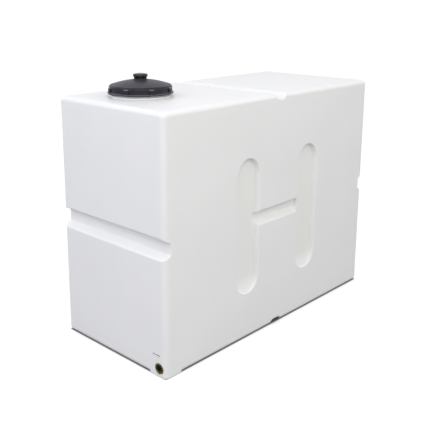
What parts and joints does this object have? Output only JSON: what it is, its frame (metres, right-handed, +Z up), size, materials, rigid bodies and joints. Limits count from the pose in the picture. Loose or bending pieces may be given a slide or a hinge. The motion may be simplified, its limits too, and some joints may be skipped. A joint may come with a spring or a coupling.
{
  "type": "fresh water tank",
  "caption": "Upright rectangular plastic water tank with strap grooves, a recessed stiffener, a screw lid with a mushroom vent, and a brass threaded outlet low in one end.",
  "frame": {"origin": "at floor level under the middle of the tank's footprint", "axes": "+X along the tank away from the outlet end, +Y across it towards the side that the lid is nearer, +Z up"},
  "size_m": [1.386, 0.626, 1.1455],
  "materials": {
    "tank_plastic": "natural white polyethylene, slightly translucent, satin moulded surface",
    "lid_plastic": "black moulded polypropylene, satin",
    "vent_plastic": "black moulded plastic, fairly glossy",
    "gasket_rubber": "dull black rubber",
    "brass": "machined brass, lightly tarnished",
    "label": "white film label with plain printed bars",
    "screen_mesh": "black moulded mesh"
  },
  "bodies": {
    "tank": {"tank_shell": "tank_plastic", "outlet_insert": "brass", "rating_label": "label"},
    "seal": {"lid_gasket": "gasket_rubber"},
    "lid": {"filler_lid": "lid_plastic", "vent_washer": "gasket_rubber", "vent_body": "vent_plastic", "vent_screen": "screen_mesh", "vent_cap": "vent_plastic", "vent_nut": "vent_plastic"}
  },
  "joints": [
    {"name": "lid_lift", "type": "slide", "parent": "tank", "child": "seal", "axis": [0, 0, 1], "range_m": [0, 0.15]},
    {"name": "lid_turn", "type": "hinge", "parent": "seal", "child": "lid", "pos_m": [-0.461, 0.065, 1.09], "axis": [0, 0, 1], "range_deg": [0, 540]}
  ]
}
